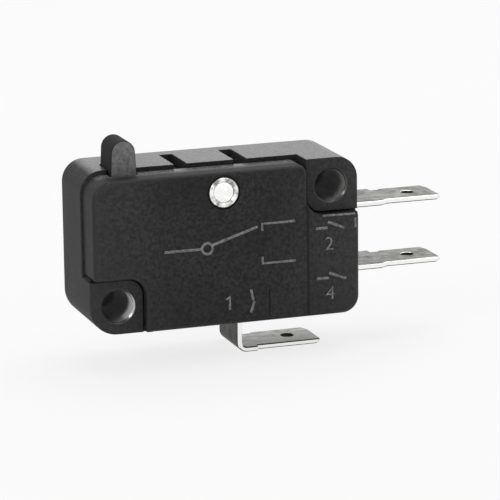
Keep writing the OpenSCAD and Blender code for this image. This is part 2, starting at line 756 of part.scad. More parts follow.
module wire(path, d, sides) {
    dirs = ring_dirs(path, 0, [0, 1, 0], []);
    last = len(path) - 1;
    points = [for (i = [0 : last], k = [0 : sides - 1])
        let (t = tangent(path, i), a = 360 * k / sides)
        path[i] + d / 2 * (cos(a) * dirs[i] + sin(a) * cross(t, dirs[i]))];
    // Each wall panel is two triangles; the end caps are fans
    walls = [for (i = [0 : last - 1], k = [0 : sides - 1], half = [0, 1])
        let (n = (k + 1) % sides, a = i * sides, b = a + sides)
        half == 0 ? [a + k, b + k, b + n] : [a + k, b + n, a + n]];
    ends = [for (k = [1 : sides - 2], e = [0, last * sides])
        e == 0 ? [0, k, k + 1] : [e, e + k + 1, e + k]];
    polyhedron(points, concat(walls, ends));
}

module snap_spring() {
    color(steel_color) wire(spring_path, wire_d, 6);
}

in_frame() case();
in_frame() cover();
in_frame() eyelet();
in_frame() plunger();
in_frame() drive_lever();
in_frame() lever_pin();
in_frame() contact_lever();
in_frame() moving_contact();
in_frame() snap_spring();
in_frame() common_terminal();
in_frame() nc_terminal();
in_frame() no_terminal();
in_frame() nc_contact();
in_frame() no_contact();
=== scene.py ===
"""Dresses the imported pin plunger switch: worn moulding, plated metal, raised contact marks, a studio."""

import json
import math

import bmesh
import bpy
from mathutils import Matrix, Vector


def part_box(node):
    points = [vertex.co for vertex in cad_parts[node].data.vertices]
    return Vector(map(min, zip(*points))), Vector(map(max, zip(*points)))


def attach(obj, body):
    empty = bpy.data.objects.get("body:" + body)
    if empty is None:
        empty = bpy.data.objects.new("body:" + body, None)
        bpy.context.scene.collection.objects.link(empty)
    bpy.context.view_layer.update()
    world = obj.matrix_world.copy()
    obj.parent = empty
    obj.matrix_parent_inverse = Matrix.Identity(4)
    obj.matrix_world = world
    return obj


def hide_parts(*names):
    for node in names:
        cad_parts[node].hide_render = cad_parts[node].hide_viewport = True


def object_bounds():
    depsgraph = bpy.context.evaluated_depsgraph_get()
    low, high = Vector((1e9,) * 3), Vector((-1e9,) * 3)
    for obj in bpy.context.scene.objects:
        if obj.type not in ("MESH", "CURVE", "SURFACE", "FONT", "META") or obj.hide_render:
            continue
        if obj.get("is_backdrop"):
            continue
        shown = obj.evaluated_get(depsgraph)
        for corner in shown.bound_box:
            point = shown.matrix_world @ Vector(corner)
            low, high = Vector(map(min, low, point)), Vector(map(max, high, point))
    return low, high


bl_info = {
    "name": "Pin Plunger Switch",
    "version": (1, 0, 0),
    "blender": (4, 5, 0),
    "location": "View3D > Sidebar > Switch",
    "description": "Builds the looks of a miniature changeover switch around its packed solids",
    "category": "Object",
}

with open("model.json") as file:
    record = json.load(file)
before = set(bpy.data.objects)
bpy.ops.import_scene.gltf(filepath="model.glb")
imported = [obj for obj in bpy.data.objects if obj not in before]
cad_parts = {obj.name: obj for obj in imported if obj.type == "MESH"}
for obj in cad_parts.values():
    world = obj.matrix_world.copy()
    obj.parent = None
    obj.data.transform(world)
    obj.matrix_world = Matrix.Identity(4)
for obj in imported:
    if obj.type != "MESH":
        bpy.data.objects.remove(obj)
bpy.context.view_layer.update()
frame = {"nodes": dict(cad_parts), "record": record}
MM = 0.001
BODIES = frame["record"]["behaviour"]["bodies"]
CASE_LOW, CASE_HIGH = (Vector(corner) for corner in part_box("case"))
COVER_LOW, COVER_HIGH = (Vector(corner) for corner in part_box("cover"))
RIVET_LOW, RIVET_HIGH = (Vector(corner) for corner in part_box("eyelet"))
SPRING_LOW, SPRING_HIGH = (Vector(corner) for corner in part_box("snap_spring"))
BORES = [mount for mount in frame["record"]["mounts"] if mount["kind"] == "bore"]

# The photograph's camera, found from the body's corners and holes
VIEW_AZIMUTH = math.radians(-18.248)
VIEW_ELEVATION = math.radians(13.346)
VIEW_ROLL = math.radians(0.85)
VIEW_DISTANCE = 300 * MM
VIEW_LENS = 217.24
VIEW_SHIFT = (0.0778, -0.0279)

# Soft lamps: name, place from the switch's middle and side length in metres, power in watts
LAMPS = (
    ("overhead_softbox", (0.12, 0.12, 0.5), 0.6, 1.9),
    ("left_softbox", (-0.45, -0.22, 0.32), 0.14, 0.6),
    ("rear_softbox", (0.24, 0.72, 0.42), 0.6, 0.2),
)
# Light that the white surroundings give, and the share of plain white that the floor shows
WORLD_FILL = 0.35
FLOOR_WHITE = 0.8
# Half the floor's side in metres, and how far it lies under the switch
FLOOR_HALF = 3.0
FLOOR_GAP = 0.05 * MM

# Finishes, named for what they are
PHENOLIC = "black_phenolic_moulding"
BORE = "dull_phenolic_bore"
MOUTH = "screw_burnished_hole_mouth"
RELIEF = "rubbed_phenolic_relief"
PIN_RESIN = "grey_phenolic_pin"
TIN = "tin_plated_brass"
CUT_EDGE = "burnished_cut_edge"
SHADE_TIN = "tarnished_tin_plate"
LIT_TIN = "fresh_tin_plate"
NICKEL = "nickel_plated_rivet"
DRAWN_NICKEL = "bright_drawn_rivet_bore"
COPPER = "rolled_copper_alloy"
SILVER = "silver_contact_face"
STEEL = "drawn_bright_steel"
SLOT_FINISHES = {"steel": STEEL, "spring_copper": COPPER, "contact_silver": SILVER}

# Depths behind the cover's face, in millimetres, between which the dust on its top sets in
TOP_DUST = (1.2, 3.0)
# Depths behind a mounting hole's mouth, in millimetres: where the painted highlight on its right ends, where
# the painted light on the right of its wall grows to its full tone, and where it ends
BORE_LIT_MOUTH = (0.9, 1.8)
BORE_LIT_RAMP = (1.5, 4.5)
BORE_LIT_END = (5.4, 6.6)
# How much greyer the body's ends are than its middle
END_GREY = 0.42
# The insert's seam on the cover's face, in millimetres: its middle, from the body's lower left corner,
# and half its width and height
INSERT_SEAM = (18.2, 1.95, 0.07, 1.4)


def linear(hex_colour):
    """Linear RGBA of an sRGB hex colour."""
    channels = [int(hex_colour[i:i + 2], 16) / 255 for i in (1, 3, 5)]
    return [c / 12.92 if c <= 0.04045 else ((c + 0.055) / 1.055) ** 2.4 for c in channels] + [1.0]


def add_node(tree, kind, sockets=None, **settings):
    """Adds a node, sets its properties, and fills or links its sockets; a hex colour is made linear."""
    node = tree.nodes.new(kind)
    for name, value in settings.items():
        setattr(node, name, value)
    for key, value in (sockets or {}).items():
        if isinstance(value, bpy.types.NodeSocket):
            tree.links.new(value, node.inputs[key])
        else:
            node.inputs[key].default_value = linear(value) if isinstance(value, str) else value
    return node


def bare_tree(owner):
    """The emptied node tree of a material or a world."""
    owner.use_nodes = True
    owner.node_tree.nodes.clear()
    return owner.node_tree


def new_material(name):
    """A new material's node tree, its shader, and the place on the surface in millimetres."""
    tree = bare_tree(bpy.data.materials.new(name))
    shader = add_node(tree, "ShaderNodeBsdfPrincipled")
    add_node(tree, "ShaderNodeOutputMaterial", {"Surface": shader.outputs["BSDF"]})
    place = add_node(tree, "ShaderNodeTexCoord").outputs["Object"]
    in_mm = add_node(tree, "ShaderNodeMapping", {"Vector": place, "Scale": (1 / MM,) * 3})
    return tree, shader, in_mm.outputs["Vector"]


def facing(tree):
    """The surface's own direction as three numbers."""
    normal = add_node(tree, "ShaderNodeNewGeometry").outputs["Normal"]
    return add_node(tree, "ShaderNodeSeparateXYZ", {0: normal}).outputs


def finish_shader(tree, shader, colour, rough, height, depth_mm):
    """Links colour, roughness and a bump of a real depth to the shader."""
    bump = add_node(tree, "ShaderNodeBump", {"Height": height, "Strength": 0.7, "Distance": depth_mm * MM})
    tree.links.new(colour, shader.inputs["Base Color"])
    tree.links.new(rough, shader.inputs["Roughness"])
    tree.links.new(bump.outputs["Normal"], shader.inputs["Normal"])


def rubbed_edge(tree, way):
    """1 midway round the edges of the front and back, but not along the top, and 0 on the flats."""
    square = add_node(tree, "ShaderNodeMath", {0: way["Y"], 1: way["Y"]}, operation="MULTIPLY").outputs[0]
    rest = add_node(tree, "ShaderNodeMath", {0: 1.0, 1: square}, operation="SUBTRACT").outputs[0]
    both = add_node(tree, "ShaderNodeMath", {0: square, 1: rest}, operation="MULTIPLY").outputs[0]
    turned = add_node(tree, "ShaderNodeMath", {
        0: both, 1: 4.0}, operation="MULTIPLY", use_clamp=True).outputs[0]
    below = add_node(tree, "ShaderNodeMapRange", {
        "Value": way["Z"], "From Min": 0.6, "From Max": 0.2}, interpolation_type="SMOOTHSTEP").outputs[0]
    return add_node(tree, "ShaderNodeMath", {0: turned, 1: below}, operation="MULTIPLY").outputs[0]


def dusty_lit_top(tree, way, where):
    """How far a surface faces up, and its pale tone, partly dust and partly painted light on the top: on all
    of the case's top, and on the back of the cover's.
    """
    upward = add_node(tree, "ShaderNodeMapRange", {
        "Value": way["Z"], "From Min": 0.8, "From Max": 1.0}, interpolation_type="SMOOTHSTEP").outputs[0]
    face_y = COVER_LOW.y / MM
    settled = add_node(tree, "ShaderNodeMapRange", {
        "Value": where["Y"], "From Min": face_y + TOP_DUST[0], "From Max": face_y + TOP_DUST[1],
        "To Min": 0.0, "To Max": 0.95}, interpolation_type="SMOOTHSTEP").outputs[0]
    raised = add_node(tree, "ShaderNodeMapRange", {
        "Value": where["Z"], "From Min": COVER_HIGH.z / MM, "From Max": CASE_HIGH.z / MM,
        "To Min": settled, "To Max": 1.0}).outputs[0]
    dust_and_top_light = add_node(tree, "ShaderNodeMath", {0: upward, 1: raised}, operation="MULTIPLY").outputs[0]
    return upward, dust_and_top_light


def far_end(tree, way, where):
    """0 in the middle of the front and back, 1 at the body's ends."""
    along = add_node(tree, "ShaderNodeMapRange", {
        "Value": where["X"], "From Min": CASE_LOW.x / MM, "From Max": CASE_HIGH.x / MM,
        "To Min": -1.0, "To Max": 1.0}).outputs[0]
    outward = add_node(tree, "ShaderNodeMath", {0: along, 1: way["Y"]}, operation="MULTIPLY").outputs[0]
    return add_node(tree, "ShaderNodeMath", {0: outward, 1: outward}, operation="MULTIPLY").outputs[0]


def insert_line(tree, way, where):
    """1 on the fine seam that the tool's insert left beside the common terminal's mark."""
    x, z, half_width, half_height = INSERT_SEAM
    across = add_node(tree, "ShaderNodeMath", {
        0: where["X"], 1: CASE_LOW.x / MM + x, 2: half_width}, operation="COMPARE").outputs[0]
    along = add_node(tree, "ShaderNodeMath", {
        0: where["Z"], 1: CASE_LOW.z / MM + z, 2: half_height}, operation="COMPARE").outputs[0]
    front = add_node(tree, "ShaderNodeMath", {0: way["Y"], 1: -0.9}, operation="LESS_THAN").outputs[0]
    strip = add_node(tree, "ShaderNodeMath", {0: across, 1: along}, operation="MULTIPLY").outputs[0]
    return add_node(tree, "ShaderNodeMath", {0: strip, 1: front}, operation="MULTIPLY").outputs[0]


def black_phenolic(tones):
    """Black phenolic, moulded in an eroded tool: dull dark faces, a smoother top painted pale, partly as
    dust and partly as painted light, and rubbed edges.
    """
    tree, shader, spot = new_material(PHENOLIC)
    shader.inputs["IOR"].default_value = 1.3
    way = facing(tree)
    where = add_node(tree, "ShaderNodeSeparateXYZ", {0: spot}).outputs
    upward, dust_and_top_light = dusty_lit_top(tree, way, where)
    edge = rubbed_edge(tree, way)
    # Flow clouds of the filled resin, about 7 mm across
    cloud = add_node(tree, "ShaderNodeTexNoise", {
        "Vector": spot, "Scale": 1 / 7.0, "Detail": 3.0}).outputs["Fac"]
    # Grit of the eroded tool, drawn at 0.3 mm instead of 0.05 mm so that it shows
    grit = add_node(tree, "ShaderNodeTexNoise", {
        "Vector": spot, "Scale": 1 / 0.3, "Detail": 4.0}).outputs["Fac"]
    speck = add_node(tree, "ShaderNodeMapRange", {
        "Value": grit, "From Min": 0.3, "From Max": 0.7}).outputs[0]
    flow = add_node(tree, "ShaderNodeMath", {0: cloud, 1: speck}, operation="MULTIPLY").outputs[0]
    mottle = add_node(tree, "ShaderNodeMath", {
        0: far_end(tree, way, where), 1: END_GREY, 2: flow}, operation="MULTIPLY_ADD").outputs[0]
    face = add_node(tree, "ShaderNodeMix", {
        0: mottle, 6: tones.moulding_dark, 7: tones.moulding_light}, data_type="RGBA").outputs[2]
    # Pale tone of the top: partly dust, partly painted light
    painted_light_tone = add_node(tree, "ShaderNodeMix", {
        0: speck, 6: tones.top_dark, 7: tones.top_light}, data_type="RGBA").outputs[2]
    wiped = add_node(tree, "ShaderNodeMix", {
        0: upward, 6: face, 7: tones.moulding_dark}, data_type="RGBA").outputs[2]
    flats = add_node(tree, "ShaderNodeMix", {0: dust_and_top_light, 6: wiped, 7: painted_light_tone}, data_type="RGBA").outputs[2]
    rubbed = add_node(tree, "ShaderNodeMix", {
        0: edge, 6: flats, 7: tones.moulding_edge}, data_type="RGBA").outputs[2]
    colour = add_node(tree, "ShaderNodeMix", {
        0: insert_line(tree, way, where), 6: rubbed, 7: tones.seam}, data_type="RGBA").outputs[2]
    dull = add_node(tree, "ShaderNodeMapRange", {"Value": grit, "To Min": 0.56, "To Max": 0.72}).outputs[0]
    satin = add_node(tree, "ShaderNodeMapRange", {"Value": grit, "To Min": 0.18, "To Max": 0.42}).outputs[0]
    flat = add_node(tree, "ShaderNodeMix", {0: dust_and_top_light, 2: dull, 3: satin}).outputs[0]
    rough = add_node(tree, "ShaderNodeMix", {0: edge, 2: flat, 3: 0.24}).outputs[0]
    finish_shader(tree, shader, colour, rough, grit, depth_mm=0.012)


def lamp_side(tree, where):
    """1 on the right of a mounting hole, which faces the left lamp, for painted light, and a share that
    grows from the lower hole, for painted shade at the upper.
    """
    lamp_lit = add_node(tree, "ShaderNodeMapRange", {
        "Value": facing(tree)["X"], "From Min": -0.3, "From Max": -0.7},
        interpolation_type="SMOOTHSTEP").outputs[0]
    across = add_node(tree, "ShaderNodeMapRange", {
        "Value": where["X"], "From Min": CASE_LOW.x / MM, "From Max": CASE_HIGH.x / MM}).outputs[0]
    return lamp_lit, across


def lit_right_wall(tree, where, mouth_y):
    """Painted light on the right of a mounting hole's wall, which faces the left lamp: thinner near its
    mouth, and gone further in.
    """
    right = add_node(tree, "ShaderNodeMapRange", {
        "Value": facing(tree)["X"], "From Min": 0.5, "From Max": -0.2},
        interpolation_type="SMOOTHSTEP").outputs[0]
    lit_ramp = add_node(tree, "ShaderNodeMapRange", {
        "Value": where["Y"], "From Min": mouth_y + BORE_LIT_RAMP[0], "From Max": mouth_y + BORE_LIT_RAMP[1],
        "To Min": 0.42, "To Max": 1.0}, interpolation_type="SMOOTHSTEP").outputs[0]
    forward = add_node(tree, "ShaderNodeMapRange", {
        "Value": where["Y"], "From Min": mouth_y + BORE_LIT_END[1], "From Max": mouth_y + BORE_LIT_END[0],
        "To Max": lit_ramp}).outputs[0]
    return add_node(tree, "ShaderNodeMath", {0: right, 1: forward}, operation="MULTIPLY").outputs[0]


def dull_bore(tones):
    """Wall of a mounting hole, dragged dull by the core pin, with painted light on its right and a painted
    highlight at the front of its right, dimmer in the upper hole as painted shade.
    """
    tree, shader, spot = new_material(BORE)
    shader.inputs["IOR"].default_value = 1.15
    where = add_node(tree, "ShaderNodeSeparateXYZ", {0: spot}).outputs
    mouth_y = -BORES[0]["dims"]["length_mm"]
    # Drag lines along the hole, drawn at 0.3 mm so that they show
    drawn = add_node(tree, "ShaderNodeMapping", {"Vector": spot, "Scale": (1 / 0.3, 1 / 4.0, 1 / 0.3)})
    drag = add_node(tree, "ShaderNodeTexNoise", {
        "Vector": drawn.outputs["Vector"], "Scale": 1.0, "Detail": 3.0}).outputs["Fac"]
    bare = add_node(tree, "ShaderNodeMix", {
        0: drag, 6: tones.bore_dark, 7: tones.bore_light}, data_type="RGBA").outputs[2]
    painted_light_tone = add_node(tree, "ShaderNodeMix", {
        0: drag, 6: tones.lit_wall_dark, 7: tones.lit_wall_light}, data_type="RGBA").outputs[2]
    # Painted light on the right of the wall, which faces the left lamp
    wall = add_node(tree, "ShaderNodeMix", {
        0: lit_right_wall(tree, where, mouth_y), 6: bare, 7: painted_light_tone}, data_type="RGBA").outputs[2]
    lamp_lit, across = lamp_side(tree, where)
    # Painted highlight near the mouth on the right, dimmer at the upper hole as painted shade
    shallow = add_node(tree, "ShaderNodeMapRange", {
        "Value": where["Y"], "From Min": mouth_y + BORE_LIT_MOUTH[1], "From Max": mouth_y + BORE_LIT_MOUTH[0]},
        interpolation_type="SMOOTHSTEP").outputs[0]
    rubbed = add_node(tree, "ShaderNodeMath", {0: lamp_lit, 1: shallow}, operation="MULTIPLY").outputs[0]
    pale = add_node(tree, "ShaderNodeMix", {
        0: across, 6: tones.highlight_lower, 7: tones.highlight_upper}, data_type="RGBA").outputs[2]
    colour = add_node(tree, "ShaderNodeMix", {0: rubbed, 6: wall, 7: pale}, data_type="RGBA").outputs[2]
    rough = add_node(tree, "ShaderNodeMapRange", {"Value": drag, "To Min": 0.7, "To Max": 0.95}).outputs[0]
    finish_shader(tree, shader, colour, rough, drag, depth_mm=0.006)


def lamp_side_mouth(tones):
    """Chamfer of a mounting hole: metal only on the side that faces the left lamp, so that its shine stands
    in for a highlight, dimmer at the upper hole as painted shade.
    """
    tree, shader, spot = new_material(MOUTH)
    # Rubbed patches about 0.5 mm across
    patch = add_node(tree, "ShaderNodeTexNoise", {
        "Vector": spot, "Scale": 1 / 0.5, "Detail": 3.0}).outputs["Fac"]
    lamp_lit, across = lamp_side(tree, add_node(tree, "ShaderNodeSeparateXYZ", {0: spot}).outputs)
    # Shine only on the side that faces the left lamp, dimmer at the upper hole as painted shade
    shine = add_node(tree, "ShaderNodeMix", {
        0: across, 6: tones.mouth_lower, 7: tones.mouth_upper}, data_type="RGBA").outputs[2]
    colour = add_node(tree, "ShaderNodeMix", {
        0: lamp_lit, 6: tones.moulding_edge, 7: shine}, data_type="RGBA").outputs[2]
    rough = add_node(tree, "ShaderNodeMapRange", {"Value": patch, "To Min": 0.16, "To Max": 0.34}).outputs[0]
    tree.links.new(lamp_lit, shader.inputs["Metallic"])
    finish_shader(tree, shader, colour, rough, patch, depth_mm=0.004)


def rubbed_relief(tones):
    """The same resin where it stands out of the face: its crown is rubbed paler and smoother."""
    tree, shader, spot = new_material(RELIEF)
    # Grit as on the faces, drawn at 0.25 mm so that it shows on the narrow strokes
    grit = add_node(tree, "ShaderNodeTexNoise", {
        "Vector": spot, "Scale": 1 / 0.25, "Detail": 3.0}).outputs["Fac"]
    speck = add_node(tree, "ShaderNodeMapRange", {
        "Value": grit, "From Min": 0.35, "From Max": 0.65}).outputs[0]
    colour = add_node(tree, "ShaderNodeMix", {
        0: speck, 6: tones.relief_dark, 7: tones.relief_light}, data_type="RGBA").outputs[2]
    rough = add_node(tree, "ShaderNodeMapRange", {"Value": grit, "To Min": 0.3, "To Max": 0.5}).outputs[0]
    finish_shader(tree, shader, colour, rough, grit, depth_mm=0.008)


def grey_pin_resin(tones):
    """Filled grey resin of the pin: the two flat faces painted pale as lit, the sides painted dark as
    shaded.
    """
    tree, shader, spot = new_material(PIN_RESIN)
    shader.inputs["IOR"].default_value = 1.3
    # Painted light and shade: 1 on the faces towards the front and back, painted pale as lit, 0 on the
    # sides, painted dark as shaded
    flat = add_node(tree, "ShaderNodeMath", {0: facing(tree)["Y"], 1: 8.0}, operation="POWER").outputs[0]
    # Filler grain, drawn at 0.35 mm instead of about 0.1 mm so that it shows
    grain = add_node(tree, "ShaderNodeTexNoise", {
        "Vector": spot, "Scale": 1 / 0.35, "Detail": 4.0}).outputs["Fac"]
    speck = add_node(tree, "ShaderNodeMapRange", {
        "Value": grain, "From Min": 0.3, "From Max": 0.7}).outputs[0]
    side = add_node(tree, "ShaderNodeMix", {
        0: speck, 6: tones.shade_side_dark, 7: tones.shade_side_light}, data_type="RGBA").outputs[2]
    pale = add_node(tree, "ShaderNodeMix", {
        0: speck, 6: tones.pin_dark, 7: tones.pin_light}, data_type="RGBA").outputs[2]
    colour = add_node(tree, "ShaderNodeMix", {0: flat, 6: side, 7: pale}, data_type="RGBA").outputs[2]
    rough = add_node(tree, "ShaderNodeMapRange", {"Value": grain, "To Min": 0.66, "To Max": 0.86}).outputs[0]
    finish_shader(tree, shader, colour, rough, grain, depth_mm=0.01)


def plated_metal(name, low, high, rough_range, streak_mm, depth_mm, glance="#ffffff"):
    """Rolled and plated metal: streaks along the strip, uneven gloss, a slight tooth, a tint at a glance."""
    tree, shader, spot = new_material(name)
    stretched = add_node(tree, "ShaderNodeMapping", {
        "Vector": spot, "Scale": [1 / size for size in streak_mm]})
    streak = add_node(tree, "ShaderNodeTexNoise", {
        "Vector": stretched.outputs["Vector"], "Scale": 1.0, "Detail": 4.0}).outputs["Fac"]
    # Blooms where the plating took unevenly, about 1 mm across
    bloom = add_node(tree, "ShaderNodeTexNoise", {
        "Vector": spot, "Scale": 1.0, "Detail": 4.0}).outputs["Fac"]
    both = add_node(tree, "ShaderNodeMath", {0: streak, 1: bloom}, operation="ADD").outputs[0]
    tone = add_node(tree, "ShaderNodeMapRange", {
        "Value": both, "From Min": 0.8, "From Max": 1.2}).outputs[0]
    colour = add_node(tree, "ShaderNodeMix", {0: tone, 6: low, 7: high}, data_type="RGBA").outputs[2]
    rough = add_node(tree, "ShaderNodeMapRange", {
        "Value": bloom, "From Min": 0.3, "From Max": 0.7,
        "To Min": rough_range[0], "To Max": rough_range[1]}).outputs[0]
    shader.inputs["Metallic"].default_value = 1.0
    shader.inputs["Specular Tint"].default_value = linear(glance)
    finish_shader(tree, shader, colour, rough, streak, depth_mm)


def nickel_rivet(tones):
    """Nickel on drawn brass, closed by a spinning tool: nearly white, with grey scuffs where it rubbed."""
    tree, shader, spot = new_material(NICKEL)
    # Scuffs about 0.8 mm across
    scuff = add_node(tree, "ShaderNodeTexNoise", {
        "Vector": spot, "Scale": 1 / 0.8, "Detail": 4.0}).outputs["Fac"]
    share = add_node(tree, "ShaderNodeMapRange", {
        "Value": scuff, "From Min": 0.44, "From Max": 0.62}).outputs[0]
    colour = add_node(tree, "ShaderNodeMix", {
        0: share, 6: tones.rivet_light, 7: tones.rivet_dark}, data_type="RGBA").outputs[2]
    rough = add_node(tree, "ShaderNodeMapRange", {"Value": scuff, "To Min": 0.3, "To Max": 0.5}).outputs[0]
    shader.inputs["Metallic"].default_value = 1.0
    finish_shader(tree, shader, colour, rough, scuff, depth_mm=0.004)


def link(piece):
    """Puts a new object in the scene and returns it."""
    bpy.context.scene.collection.objects.link(piece)
    return piece


def make_piece(name, shape):
    """A new object of a finished bmesh, which is freed."""
    mesh = bpy.data.meshes.new(name)
    shape.to_mesh(mesh)
    shape.free()
    return link(bpy.data.objects.new(name, mesh))


def flatten(piece):
    """Turns an object with modifiers, or a text, into a plain mesh object of its name at the origin."""
    bpy.context.view_layer.update()
    graph = bpy.context.evaluated_depsgraph_get()
    mesh = bpy.data.meshes.new_from_object(piece.evaluated_get(graph), depsgraph=graph)
    name = piece.name
    mesh.transform(piece.matrix_world)
    bpy.data.objects.remove(piece)
    mesh.name = name
    return link(bpy.data.objects.new(name, mesh))


def settle(piece, node, slot, *finishes):
    """Finishes a piece: its materials and the body of the node that it sits on; its record slot is not used.
    """
    piece.data.materials.clear()
    for finish in finishes:
        piece.data.materials.append(bpy.data.materials[finish])
    body = next(name for name, nodes in BODIES.items() if node in nodes)
    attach(piece, body)


def stand_for(piece, node, slot, *finishes):
    """As settle, for a piece that takes a solid's place."""
    settle(piece, node, slot, *finishes)
    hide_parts(node)


# Points closer than this are one point
SAME_POINT = 0.0005 * MM
# Faces that turn less than the first are one face, and edges that turn more than the second are sharp
FLAT_TURN = math.radians(0.5)
SHARP_TURN = math.radians(30)
# Slivers narrower than this are closed after the edges are eased
SLIVER = 0.002 * MM


def eased_copy(node, name, edge, segments=3, blocks=()):
    """A copy of a solid's mesh, with any blocks of flash added and its sharp edges eased to a radius."""
    mesh = frame["nodes"][node].data.copy()
    shape = bmesh.new()
    shape.from_mesh(mesh)
    bmesh.ops.remove_doubles(shape, verts=shape.verts, dist=SAME_POINT)
    bmesh.ops.dissolve_limit(
        shape, angle_limit=FLAT_TURN, verts=shape.verts, edges=shape.edges, use_dissolve_boundaries=False)
    for low, high in blocks:
        size = Matrix.Diagonal((high - low).to_4d())
        bmesh.ops.create_cube(shape, size=1.0, matrix=Matrix.Translation((low + high) / 2) @ size)
    for face in shape.faces:
        face.smooth = True
    for seam in shape.edges:
        seam.smooth = seam.calc_face_angle(0.0) < SHARP_TURN
    shape.to_mesh(mesh)
    shape.free()
    piece = link(bpy.data.objects.new(name, mesh))
    easing = piece.modifiers.new("eased_edges", "BEVEL")
    easing.width = edge
    easing.segments = segments
    easing.limit_method = "ANGLE"
    easing.angle_limit = SHARP_TURN
    easing.use_clamp_overlap = False
    # Even widths, so that the cuts which join a flat face's outline to its hole leave no crease
    easing.loop_slide = False
    easing.miter_outer = "MITER_ARC"
    welded = piece.modifiers.new("closed_slivers", "WELD")
    welded.merge_threshold = SLIVER
    flats = piece.modifiers.new("flat_faces_stay_flat", "WEIGHTED_NORMAL")
    flats.mode = "FACE_AREA"
    flats.weight = 100
    flats.keep_sharp = False
    return flatten(piece)


def lathe(name, profile, axis, steps=96):
    """A closed turned piece about a line along Y, from (radius, y) points that run round its section."""
    shape = bmesh.new()
    rings = []
    for step in range(steps):
        angle = 2 * math.pi * step / steps
        rings.append([
            shape.verts.new((axis.x + r * math.cos(angle), y, axis.z + r * math.sin(angle)))
            for r, y in profile])
    for step in range(steps):
        ring, after = rings[step], rings[(step + 1) % steps]
        for i in range(len(profile)):
            j = (i + 1) % len(profile)
            shape.faces.new((ring[i], ring[j], after[j], after[i])).smooth = True
    bmesh.ops.recalc_face_normals(shape, faces=shape.faces)
    return make_piece(name, shape)


def arc(centre, radius, start, end, steps=8):
    """Points of an arc in a plane, as pairs; angles in degrees."""
    turns = [math.radians(start + (end - start) * i / steps) for i in range(steps + 1)]
    return [(centre[0] + radius * math.cos(t), centre[1] + radius * math.sin(t)) for t in turns]


def round_bar_tree(material):
    """Geometry Nodes that sweep a round bar along every path of a wire mesh."""
    tree = bpy.data.node_groups.new("round_bar_" + material.name, "GeometryNodeTree")
    sockets = {}
    for label, kind, way in (
            ("Path", "NodeSocketGeometry", "INPUT"), ("Diameter", "NodeSocketFloat", "INPUT"),
            ("Sides", "NodeSocketInt", "INPUT"), ("Bar", "NodeSocketGeometry", "OUTPUT")):
        sockets[label] = tree.interface.new_socket(label, in_out=way, socket_type=kind).identifier
    given = add_node(tree, "NodeGroupInput").outputs
    path = add_node(tree, "GeometryNodeMeshToCurve", {"Mesh": given["Path"]})
    radius = add_node(tree, "ShaderNodeMath", {0: given["Diameter"], 1: 0.5}, operation="MULTIPLY")
    ring = add_node(tree, "GeometryNodeCurvePrimitiveCircle", {
        "Resolution": given["Sides"], "Radius": radius.outputs[0]})
    bar = add_node(tree, "GeometryNodeCurveToMesh", {
        "Curve": path.outputs["Curve"], "Profile Curve": ring.outputs["Curve"], "Fill Caps": True})
    whole = add_node(tree, "GeometryNodeRealizeInstances", {"Geometry": bar.outputs["Mesh"]})
    finish = add_node(tree, "GeometryNodeSetMaterial", {
        "Geometry": whole.outputs["Geometry"], "Material": material})
    add_node(tree, "NodeGroupOutput", {"Bar": finish.outputs["Geometry"]})
    return tree, sockets


def round_bar(name, paths, diameter, finish, sides):
    """A round bar along each path; a path that ends where it starts is a closed ring."""
    points = []
    edges = []
    for path in paths:
        closed = (Vector(path[0]) - Vector(path[-1])).length < 1e-9
        run = path[:-1] if closed else path
        first = len(points)
        points += [tuple(p) for p in run]
        edges += [(first + i, first + i + 1) for i in range(len(run) - 1)]
        if closed:
            edges.append((first + len(run) - 1, first))
    mesh = bpy.data.meshes.new(name)
    mesh.from_pydata(points, edges, [])
    piece = link(bpy.data.objects.new(name, mesh))
    tree, sockets = round_bar_tree(bpy.data.materials[finish])
    bar = piece.modifiers.new("round_bar", "NODES")
    bar.node_group = tree
    bar[sockets["Diameter"]] = diameter
    bar[sockets["Sides"]] = sides
    piece = flatten(piece)
    for face in piece.data.polygons:
        face.use_smooth = True
    return piece


